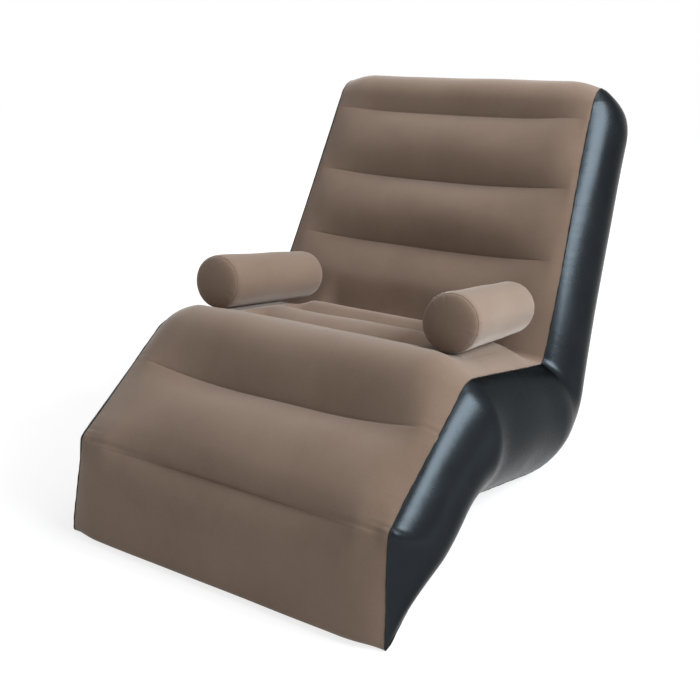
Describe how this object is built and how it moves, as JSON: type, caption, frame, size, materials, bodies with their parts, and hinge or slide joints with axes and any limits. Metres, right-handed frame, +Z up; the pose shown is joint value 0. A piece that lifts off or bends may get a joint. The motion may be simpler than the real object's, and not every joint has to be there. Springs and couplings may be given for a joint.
{
  "type": "inflatable air lounger",
  "caption": "Inflatable lounger: S-shaped channelled air chamber with leg rest, seat and raised back, flocked on top, with two bolster armrests and air valves.",
  "frame": {"origin": "on the floor, at the middle of the bounding box in X and Y", "axes": "+Z up, +Y from the foot to the back, +X to the right of someone facing the back from the foot end"},
  "size_m": [0.949, 1.3752, 0.9554],
  "materials": {
    "flocked_pvc": "taupe flocking on PVC, velvety and matt",
    "black_pvc": "smooth black PVC film with a soft sheen",
    "inner_pvc": "plain dark PVC film",
    "valve_plastic": "moulded, fine grain",
    "clear_pvc": "soft translucent PVC",
    "seal_rubber": "soft grey rubber"
  },
  "bodies": {
    "lounger": {"top_panel": "flocked_pvc", "base_panel": "black_pvc", "left_side_panel": "black_pvc", "right_side_panel": "black_pvc", "back_beam_upper": "inner_pvc", "back_beam_middle": "inner_pvc", "back_beam_lower": "inner_pvc", "corner_beam": "inner_pvc", "seat_beam_rear": "inner_pvc", "seat_beam_front": "inner_pvc", "leg_beam_upper": "inner_pvc", "leg_beam_lower": "inner_pvc", "left_armrest_sleeve": "flocked_pvc", "left_armrest_front_disc": "flocked_pvc", "left_armrest_rear_disc": "flocked_pvc", "left_armrest_patch": "flocked_pvc", "left_valve_flange": "clear_pvc", "right_armrest_sleeve": "flocked_pvc", "right_armrest_front_disc": "flocked_pvc", "right_armrest_rear_disc": "flocked_pvc", "right_armrest_patch": "flocked_pvc", "right_valve_flange": "clear_pvc", "main_valve_socket": "valve_plastic"},
    "main_seal": {"main_valve_seal": "seal_rubber"},
    "main_plug": {"main_valve_plug": "valve_plastic"},
    "main_flap": {"main_valve_flap": "seal_rubber"},
    "main_tether": {"main_valve_tether": "valve_plastic"},
    "main_cap": {"main_valve_cap": "valve_plastic"},
    "left_stem": {"left_valve_stem": "clear_pvc"},
    "left_plug": {"left_valve_plug": "clear_pvc"},
    "left_flap": {"left_valve_flap": "seal_rubber"},
    "right_stem": {"right_valve_stem": "clear_pvc"},
    "right_plug": {"right_valve_plug": "clear_pvc"},
    "right_flap": {"right_valve_flap": "seal_rubber"}
  },
  "joints": [
    {"name": "main_plug_lift", "type": "slide", "parent": "lounger", "child": "main_seal", "axis": [0, 0.9128, -0.4084], "range_m": [0, 0.00901]},
    {"name": "main_plug_turn", "type": "hinge", "parent": "main_seal", "child": "main_plug", "pos_m": [-0.15, 0.38092, 0.19568], "axis": [0, 0.9128, -0.4084], "range_deg": [0, 540]},
    {"name": "main_flap_swing", "type": "hinge", "parent": "main_plug", "child": "main_flap", "pos_m": [-0.15, 0.37772, 0.21376], "axis": [-1, 0, 0], "range_deg": [0, 60], "stiffness_Nm_per_rad": 0.00002},
    {"name": "main_cap_lift", "type": "slide", "parent": "main_plug", "child": "main_tether", "axis": [0, 0.9128, -0.4084], "range_m": [0, 0.00401]},
    {"name": "main_cap_turn", "type": "hinge", "parent": "main_tether", "child": "main_cap", "pos_m": [-0.15, 0.39735, 0.18833], "axis": [0, 0.9128, -0.4084], "range_deg": [0, 360]},
    {"name": "left_stem_push", "type": "slide", "parent": "lounger", "child": "left_stem", "axis": [0, 0.99, -0.1409], "range_m": [-0.008, 0]},
    {"name": "left_plug_swing", "type": "hinge", "parent": "left_stem", "child": "left_plug", "pos_m": [-0.297, 0.14011, 0.45901], "axis": [1, 0, 0], "range_deg": [0, 150]},
    {"name": "left_flap_swing", "type": "hinge", "parent": "left_stem", "child": "left_flap", "pos_m": [-0.297, 0.11953, 0.4585], "axis": [-1, 0, 0], "range_deg": [0, 50], "stiffness_Nm_per_rad": 0.000005},
    {"name": "right_stem_push", "type": "slide", "parent": "lounger", "child": "right_stem", "axis": [0, 0.99, -0.1409], "range_m": [-0.008, 0]},
    {"name": "right_plug_swing", "type": "hinge", "parent": "right_stem", "child": "right_plug", "pos_m": [0.297, 0.14011, 0.45901], "axis": [1, 0, 0], "range_deg": [0, 150]},
    {"name": "right_flap_swing", "type": "hinge", "parent": "right_stem", "child": "right_flap", "pos_m": [0.297, 0.11953, 0.4585], "axis": [-1, 0, 0], "range_deg": [0, 50], "stiffness_Nm_per_rad": 0.000005}
  ],
  "couplings": [
    {"joint": "main_plug_lift", "follows": "main_plug_turn", "m_per_rad": 0.0009549},
    {"joint": "main_cap_lift", "follows": "main_cap_turn", "m_per_rad": 0.0006366}
  ]
}
